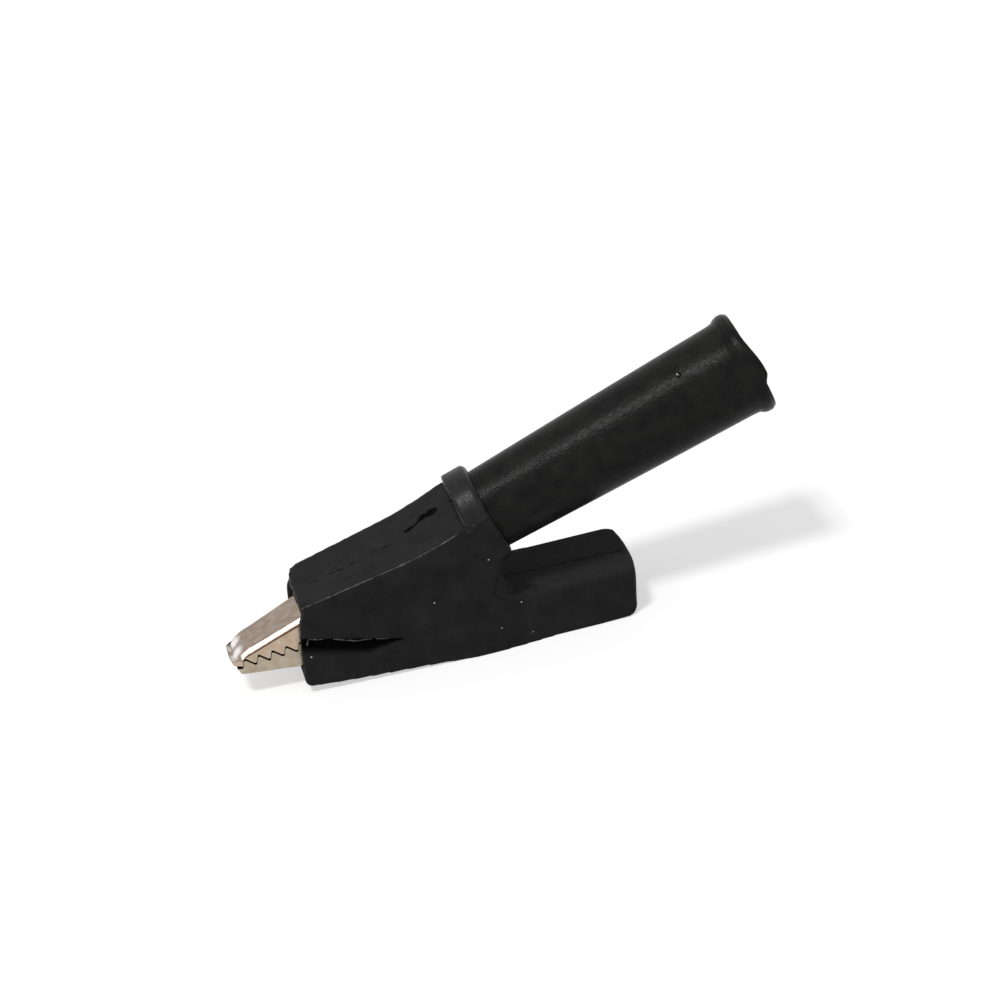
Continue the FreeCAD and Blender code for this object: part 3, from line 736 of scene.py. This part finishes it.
def fill_out(shape):
    """Undo what the softening took off, and follow the real moulding where it is fuller."""
    shape.normal_update()
    for vertex in shape.verts:
        vertex.co += vertex.normal * skin_growth * MM
    for vertex in shape.verts:
        x, y, z = vertex.co / MM
        low_front = swell(-9, -21, x) * swell(3.6, 1.4, z)
        y += math.copysign(front_wider, y) * low_front * swell(2.5, 4.0, abs(y))
        z -= front_lower * low_front
        lever_end = swell(9, 11.5, x) * swell(6.2, 5.5, z)
        x += (lever_longer[0] + lever_longer[1] * swell(1.0, 4.5, z)) * lever_end
        mouth_top = swell(-20.9, -22.0, x) * swell(7.6, 9.0, z)
        x += (mouth_shorter[0] + mouth_shorter[1] * swell(3.4, 4.6, abs(y))) * mouth_top
        vertex.co = Vector((x, y, max(z, 0.0))) * MM


def near_groove(place, across):
    """Whether a place on the lever's top is close to the groove's line."""
    spot = place / MM
    (front, rear), (low, high) = groove_box
    if not (front < spot.x < rear and low < spot.z < high):
        return False
    return abs((spot - groove_line[0]).dot(across)) < groove_reach


def cut_groove(shape):
    """The thin parting groove along the top of the lever: three cuts, the middle one sunk."""
    run = groove_line[1] - groove_line[0]
    across = Vector((-run.y, run.x, 0)).normalized()
    for offset in (-groove_half, groove_half, 0.0):
        faces = []
        for face in shape.faces:
            if face.normal.z > 0.5 and near_groove(face.calc_center_median(), across):
                faces.append(face)
        parts = set(faces)
        for face in faces:
            parts.update(face.edges)
            parts.update(face.verts)
        point = (groove_line[0] + across * offset) * MM
        bmesh.ops.bisect_plane(shape, geom=list(parts), dist=1e-8,
                               plane_co=point, plane_no=across)
    shape.normal_update()
    for vertex in shape.verts:
        if vertex.normal.z > 0.3 and near_groove(vertex.co, across):
            if abs((vertex.co / MM - groove_line[0]).dot(across)) < 0.004:
                x = vertex.co.x / MM
                sunk = swell(-1.0, -0.2, x) * swell(11.9, 11.5, x)
                vertex.co.z -= groove_depth * MM * sunk


def boot_shape():
    """The whole boot as one closed skin, cut along the lines where it folds and opens."""
    whole = joined_solids("boot", ["boot_upper", "boot_lower", "boot_web"], close_gaps)
    soft = modified(whole, (
        ("REMESH", {"mode": "VOXEL", "voxel_size": boot_voxel}),
        ("SMOOTH", {"factor": 0.5, "iterations": boot_softening}),
    ))
    shape = bmesh.new()
    shape.from_mesh(soft)
    soften_neck(shape)
    fill_out(shape)
    cut_groove(shape)
    slit_rear = slit_z(fold_front_x)
    for x, z, direction in (
        (pivot.x, fold_upper_z(pivot.x), fold_normal),
        (pivot.x, fold_lower_z(pivot.x), fold_normal),
        (fold_front_x, 0, Vector((1, 0, 0))),
        (fold_front_x, slit_rear, slit_normal),
        (fold_front_x, slit_rear - slit_cut, slit_normal),
    ):
        geometry = shape.verts[:] + shape.edges[:] + shape.faces[:]
        bmesh.ops.bisect_plane(shape, geom=geometry, dist=1e-7,
                               plane_co=Vector((x, 0, z)) * MM, plane_no=direction)
    return shape


def cap_slit(shape, drop):
    """Close the walls where the slit was cut, on the plane a drop below the slit's edge."""
    def cut_here(vertex):
        x, z = vertex.co.x / MM, vertex.co.z / MM
        return x < fold_front_x + 0.01 and abs(z - slit_z(x) + drop) < cut_tolerance

    on_plane = [edge for edge in shape.edges if edge.is_boundary and all(map(cut_here, edge.verts))]
    for side in (1, -1):
        chain = [edge for edge in on_plane if edge.verts[0].co.y * side > 0]
        uses = {}
        for edge in chain:
            for vertex in edge.verts:
                uses[vertex] = uses.get(vertex, 0) + 1
        ends = [vertex for vertex, count in uses.items() if count == 1]
        if len(ends) == 2:
            chain.append(shape.edges.get(ends) or shape.edges.new(ends))
        bmesh.ops.triangle_fill(shape, use_beauty=True, use_dissolve=False, edges=chain)


def boot_finish(face):
    """The boot's finish for a face: 0 for most, 1 for the collar, 2 for the scuffs, painted black as
    dark reflection.
    """
    spot = face.center / MM
    from_sleeve = spot - sleeve_origin
    if collar_span[0] < from_sleeve.dot(along) < collar_span[1]:
        if from_sleeve.dot(above) > collar_foot:
            return 1
    if spot.z > strip_low_z and face.normal.z > 0.5:
        for x, y, half_long, half_wide, slant in scuffs:
            off = spot.x - x
            reach = math.hypot(off / half_long, (spot.y - y - slant * off) / half_wide)
            if reach + scuff_edge * noise.noise(spot * 2.3) < 1:
                return 2
    return 0


def boot():
    """The boot's three skins, and the pips of torn flash on them."""
    shape = boot_shape()
    skins = {}
    for region, body in boot_skins:
        piece = shape.copy()
        away = []
        for face in piece.faces:
            centre = face.calc_center_median() / MM
            if boot_region(centre.x, centre.z) != region:
                away.append(face)
        bmesh.ops.delete(piece, geom=away, context="FACES")
        cap_slit(piece, slit_cut if body == "lever" else 0.0)
        mesh = smooth_mesh(piece, region, sharp_crease)
        skin = new_piece(region, mesh, body, finishes["boot_pvc"])
        mesh.materials.append(collar_finish)
        mesh.materials.append(painted_dark_finish)
        for face in mesh.polygons:
            face.material_index = boot_finish(face)
        if not body:
            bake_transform(skin)
        skins[region] = skin
    near_side = BVHTree.FromBMesh(shape)
    pips("boot_specks", "clip_body", near_side, boot_pips)
    pips("lever_specks", "lever", near_side, lever_pips)
    shape.free()
    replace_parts(skins["boot_upper_skin"], "boot_upper")
    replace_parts(skins["boot_lower_skin"], "boot_lower")
    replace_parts(skins["boot_fold_skin"], "boot_web")


def pips(name, body, skin, spots):
    """Pips of torn flash on the near side of the boot, each half sunk in the skin."""
    shape = bmesh.new()
    for x, z, radius in spots:
        hit = skin.ray_cast(Vector((x, -8, z)) * MM, Vector((0, 1, 0)))[0]
        if hit is None:
            continue
        ball = bmesh.ops.create_icosphere(shape, subdivisions=2, radius=radius * MM)
        for vertex in ball["verts"]:
            lump = noise.noise(vertex.co / MM * lump_size + Vector((x, 0, z)))
            vertex.co = vertex.co * Vector(pip_stretch) * (1 + lumpiness * lump) + hit
    new_piece(name, smooth_mesh(shape, name), body, torn_flash)


# Jaws and spring

def press_jaw(cad_name, part):
    """Bring the upper jaw's back down to its roll, open the teeth and deepen the lower jaw."""
    for vertex in part.verts:
        x, z = vertex.co.x / MM, vertex.co.z / MM
        inside = swell(*jaw_fade_x, x)
        bite = pivot.z + (x - pivot.x) * bite_slope
        if cad_name == "jaw_upper":
            high = jaw_back[1] + (x - jaw_back[0]) * jaw_back_slope - jaw_roll
            low = bite + tooth_half
            weight = min(max((z - low) / max(high - low, 0.2), 0.0), 1.0)
            fall = back_fall[0] + back_fall[1] * swell(jaw_back[0], jaw_crown_x, x)
            z += (upper_teeth_rise if z < low else 0.0) - fall * weight
        elif z > bite - tooth_half:
            z -= lower_teeth_fall
        else:
            z -= belly_fall * swell(bite - tooth_half, bite - belly_depth, z)
        vertex.co.z += (z * MM - vertex.co.z) * inside


def jaw(name, cad_name, body, finish):
    """A jaw pressed from sheet: flats in one piece and edges eased all round."""
    mesh = modified(joined_solids(name, [cad_name], press_jaw), (
        ("DECIMATE", {"decimate_type": "DISSOLVE", "angle_limit": math.radians(1.0)}),
        ("BEVEL", {"width": jaw_bevel, "segments": 2, "limit_method": "ANGLE",
                   "angle_limit": math.radians(25), "harden_normals": True}),
        ("WEIGHTED_NORMAL", {"weight": 100}),
    ))
    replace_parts(new_piece(name, mesh, body, finish), cad_name)


def spring():
    """The torsion spring: one mesh that rides no body, with its coil round the rivet."""
    mesh = joined_solids("spring_wire", ["jaw_spring"])
    mesh.set_sharp_from_angle(angle=math.radians(sharp_crease))
    piece = new_piece("spring_wire", mesh, None, finishes["spring_steel"])
    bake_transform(piece)
    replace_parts(piece, "jaw_spring")


# Sleeve

def on_sleeve(s, radius, angle):
    """A place round the sleeve: angle 0 is its near side, and a quarter turn on is its top."""
    across = Vector((0, -math.cos(angle), 0)) + above * math.sin(angle)
    return (sleeve_origin + along * s + across * radius) * MM


def sleeve_r(s):
    """Outer radius: a straight taper that swells a little at its middle."""
    share = min(max((s - sleeve_run[0]) / sleeve_run[1], 0), 1)
    return sleeve_middle_r + sleeve_taper * s + sleeve_belly * math.sin(math.pi * share)


def round_corners(points, radius, steps):
    """Replace each corner of a closed outline by a short curve."""
    rounded = []
    for i, here in enumerate(points):
        back = points[i - 1] - here
        on = points[(i + 1) % len(points)] - here
        turn = math.pi - back.angle(on)
        if turn < 0.25:
            rounded.append(here)
            continue
        reach = min(radius * math.tan(turn / 2), back.length * 0.45, on.length * 0.45)
        first = here + back.normalized() * reach
        last = here + on.normalized() * reach
        for k in range(steps + 1):
            t = k / steps
            rounded.append(first * (1 - t) ** 2 + here * 2 * t * (1 - t) + last * t ** 2)
    return rounded


def sleeve():
    outside = [(s, sleeve_r(s)) for s in sleeve_stations]
    outline = [Vector(p) for p in (*sleeve_front, *outside, *sleeve_flange, *sleeve_bore)]
    shape = bmesh.new()
    rings = []
    for s, radius in round_corners(outline, sleeve_corner, 4):
        ring = []
        for k in range(sleeve_segments):
            angle = 2 * math.pi * k / sleeve_segments - math.pi / 2
            proud = rim_proud * swell(*rim_s, s) * swell(*rim_radius, radius)
            proud *= swell(*rim_rise, angle) * swell(*rim_fade, angle)
            ring.append(shape.verts.new(on_sleeve(s + proud, radius, angle)))
        rings.append(ring)
    skin_rings(shape, rings + rings[:1])
    bmesh.ops.recalc_face_normals(shape, faces=shape.faces)
    mesh = smooth_mesh(shape, "sleeve_tube", sleeve_crease)
    tube = new_piece("sleeve_tube", mesh, "clip_body", finishes["sleeve_plastic"])
    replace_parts(tube, "socket_sleeve")


def gate_mark():
    """The broken-off gate on the sleeve: a small crater with a raised rim and a torn nub."""
    centre = on_sleeve(gate_s, sleeve_r(gate_s), gate_angle)
    outward = (centre - on_sleeve(gate_s, 0, gate_angle)).normalized()
    side = outward.cross(along).normalized()
    shape = bmesh.new()
    rings = []
    for radius, height in gate_outline:
        ring = []
        for k in range(gate_sides):
            turn = 2 * math.pi * k / gate_sides
            reach = radius * (1 + gate_wobble * math.sin(3 * turn + 1))
            spot = along * math.cos(turn) + side * math.sin(turn)
            ring.append(shape.verts.new(centre + (spot * reach + outward * height) * MM))
        rings.append(ring)
    skin_rings(shape, rings)
    shape.faces.new(rings[0])
    bmesh.ops.recalc_face_normals(shape, faces=shape.faces)
    mesh = smooth_mesh(shape, "gate_mark")
    new_piece("gate_mark", mesh, "clip_body", painted_dark_finish)
    nub = bmesh.new()
    offset = side * nub_offset[0] + along * nub_offset[1] + outward * nub_offset[2]
    ball = bmesh.ops.create_icosphere(nub, subdivisions=2, radius=nub_radius * MM)
    for vertex in ball["verts"]:
        lump = noise.noise(vertex.co / MM * lump_size)
        vertex.co = vertex.co * (1 + lumpiness * lump) + centre + offset * MM
    mesh = smooth_mesh(nub, "gate_nub")
    new_piece("gate_nub", mesh, "clip_body", torn_flash)


# Flash

def strip_half(x):
    """Half the width of the back strip at x."""
    return mouth_half + (x - mouth_x) * strip_spread


def strip_edge(x, side):
    """The edge of the back strip at x, on one side of the boot."""
    z = mouth_top_z + (min(x, strip_bend_x) - mouth_x) * math.tan(strip_slope)
    if x > strip_bend_x:
        angle = math.asin(math.sin(strip_slope) + (x - strip_bend_x) / strip_bend_radius)
        z += strip_bend_radius * (math.cos(strip_slope) - math.cos(angle))
    return Vector((x, side * strip_half(x), z))


def bead(shape, points, radii):
    """A thin ridge of round section along a line of points."""
    rings = []
    for i, point in enumerate(points):
        ahead = (points[min(i + 1, len(points) - 1)] - points[max(i - 1, 0)]).normalized()
        first = ahead.orthogonal().normalized()
        second = ahead.cross(first)
        ring = []
        for k in range(bead_sides):
            turn = 2 * math.pi * k / bead_sides
            out = first * math.cos(turn) + second * math.sin(turn)
            ring.append(shape.verts.new((point + out * radii[i]) * MM))
        rings.append(ring)
    skin_rings(shape, rings)
    shape.faces.new(rings[0])
    shape.faces.new(rings[-1])


def flash_line(shape, points, thick, wander, step, gap_level):
    """A ridge of wandering thickness along a line, broken where its noise is below a level."""
    path = []
    for start, end in zip(points, points[1:]):
        count = max(1, round((end - start).length / step))
        path += [start.lerp(end, k / count) for k in range(count)]
    path.append(points[-1])
    runs = [[]]
    for point in path:
        value = noise.noise(point * 1.7)
        if value < gap_level:
            runs.append([])
            continue
        rise = Vector((0, 0, wander * noise.noise(point * 4)))
        runs[-1].append((point + rise, thick * (1 + 0.8 * value)))
    for run in runs:
        if len(run) > 2:
            radii = [bead_tip] + [radius for _, radius in run[1:-1]] + [bead_tip]
            bead(shape, [point for point, _ in run], radii)


def boot_flash():
    """The boot's flash: along both edges of the back strip, the slit and the mouth's top."""
    shape = bmesh.new()
    for side in (-1, 1):
        sink = Vector((0, -side, -1)) * strip_flash_sink
        edge = []
        x = mouth_x + strip_flash_start[side]
        while x < strip_flash_end:
            edge.append(strip_edge(x, side) + sink)
            x += strip_flash_points
        flash_line(shape, edge, strip_flash_thick, 0.0, flash_step, no_gaps)
        for thick, line in slit_flash:
            points = [Vector((x, side * (strip_half(x) - slit_flash_sink), z)) for x, z in line]
            flash_line(shape, points, thick, slit_flash_wander, slit_flash_step, flash_gaps)
    for drop, line in mouth_flash:
        front = mouth_x + mouth_flash_sink
        points = [Vector((front, y, mouth_top_z - drop)) for y in line]
        flash_line(shape, points, mouth_flash_thick, 0.0, flash_step, flash_gaps)
    bmesh.ops.recalc_face_normals(shape, faces=shape.faces)
    mesh = smooth_mesh(shape, "boot_flash")
    # The ridges' lighter grey is a painted highlight along these edges
    new_piece("boot_flash", mesh, "clip_body", flash_highlight)


boot()
jaw("jaw_upper_plate", "jaw_upper", "clip_body", finishes["jaw_nickel"])
jaw("jaw_lower_plate", "jaw_lower", "lever", lower_jaw_finish)
spring()
sleeve()
gate_mark()
boot_flash()
